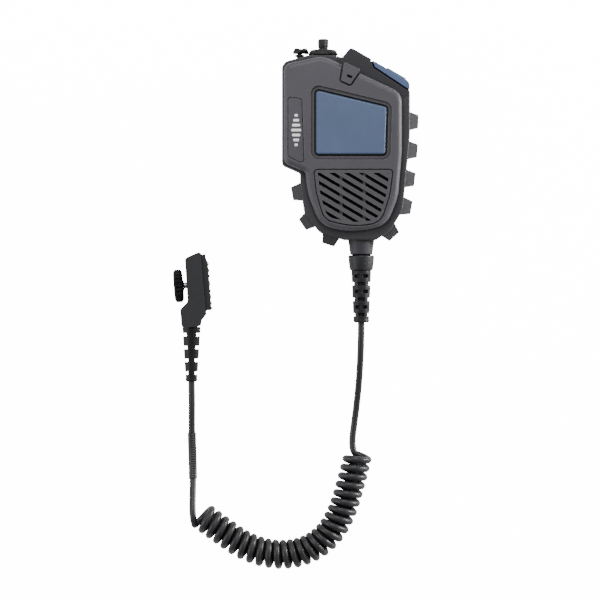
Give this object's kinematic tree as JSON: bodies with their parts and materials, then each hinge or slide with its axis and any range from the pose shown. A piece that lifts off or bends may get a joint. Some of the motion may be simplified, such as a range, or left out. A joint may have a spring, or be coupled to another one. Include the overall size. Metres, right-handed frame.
{
  "type": "hand microphone",
  "caption": "Rugged hand microphone with a press-to-talk bar, slotted grille, rubber armour, rear swivel clip and a curly cord ending in a side connector with a thumb screw.",
  "frame": {"origin": "on the surface below the middle of the microphone body with its boot, without the free cord", "axes": "+Y from the cord end to the top, +Z out of the grille side, X across"},
  "size_m": [0.136, 0.2939, 0.0387],
  "materials": {
    "shell_grey": "fine moulded grain",
    "shell_dark": "fine moulded grain",
    "armour_rubber": "satin rubber",
    "key_blue": "satin",
    "black_rubber": "matte",
    "boot_rubber": "satin",
    "cord_jacket": "satin",
    "label_film": "satin film",
    "plug_plastic": "fine moulded grain",
    "steel": "bright",
    "brass": "bright",
    "board_green": "lacquered",
    "clip_plastic": "moulded",
    "cloth_black": "woven",
    "magnet_iron": "sintered"
  },
  "bodies": {
    "root": {"armour": "armour_rubber", "board_chips": "plug_plastic", "board_screws": "steel", "cable_boot": "boot_rubber", "cap_tether": "black_rubber", "case_screws": "steel", "case_seal": "black_rubber", "clip_axle": "steel", "cord_clamp": "steel", "cord_coil": "cord_jacket", "cord_header": "plug_plastic", "cord_inner_end": "cord_jacket", "cord_mic_lead": "cord_jacket", "cord_plug_lead": "cord_jacket", "front_shell": "shell_grey", "gland_nut": "boot_rubber", "grille_cloth": "cloth_black", "grille_cover": "shell_grey", "headset_socket": "steel", "label_sleeve": "label_film", "main_board": "board_green", "mic_capsule": "steel", "mic_sleeve": "black_rubber", "neck_sleeve": "shell_dark", "plug_body": "plug_plastic", "plug_boot": "boot_rubber", "plug_contact_block": "plug_plastic", "plug_contacts": "brass", "plug_seal": "black_rubber", "port_cover": "shell_grey", "ptt_switch": "brass", "rear_shell": "shell_dark", "screw_inserts": "brass", "shoulder_block": "shell_dark", "side_badge": "shell_grey", "socket_insert": "plug_plastic", "socket_pins": "brass", "speaker_cone": "cloth_black", "speaker_frame": "steel", "speaker_gasket": "cloth_black", "speaker_magnet": "magnet_iron", "swivel_bush": "brass", "tether_anchor": "black_rubber", "top_key_switch": "brass"},
    "ptt": {"ptt_button": "key_blue", "ptt_carrier": "black_rubber"},
    "upper_key": {"top_key": "key_blue", "key_grip": "black_rubber"},
    "clip_swivel": {"clip_plate": "clip_plastic", "clip_hinge_pin": "steel", "clip_washer": "steel"},
    "clip_lever": {"clip_jaw": "clip_plastic", "clip_grip_pad": "black_rubber", "clip_spring": "steel"},
    "cap": {"dust_cap": "black_rubber"},
    "thumb": {"thumb_screw": "steel", "thumb_knob": "plug_plastic", "thumb_circlip": "steel"}
  },
  "joints": [
    {"name": "ptt_press", "type": "slide", "parent": "root", "child": "ptt", "axis": [0, 0, -1], "range_m": [0, 0.0012], "stiffness_N_per_m": 900, "springref_m": -0.0012},
    {"name": "upper_key_press", "type": "slide", "parent": "root", "child": "upper_key", "axis": [-0.4996, -0.8663, 0], "range_m": [0, 0.0006], "stiffness_N_per_m": 900, "springref_m": -0.0012},
    {"name": "clip_turn", "type": "hinge", "parent": "root", "child": "clip_swivel", "pos_m": [-0.002, 0.022, 0.009], "axis": [0, 0, 1], "continuous": true},
    {"name": "clip_open", "type": "hinge", "parent": "clip_swivel", "child": "clip_lever", "pos_m": [-0.002, 0.052, 0.0052], "axis": [1, 0, 0], "range_deg": [0, 15], "stiffness_Nm_per_rad": 0.8, "springref_deg": -20.05},
    {"name": "cap_pull", "type": "slide", "parent": "root", "child": "cap", "axis": [0, 1, 0], "range_m": [0, 0.009], "deforming": ["cap_tether"]},
    {"name": "thumb_turn", "type": "hinge", "parent": "root", "child": "thumb", "pos_m": [-0.08972, -0.05817, 0.0094], "axis": [0.9969, 0.0785, 0], "continuous": true}
  ]
}
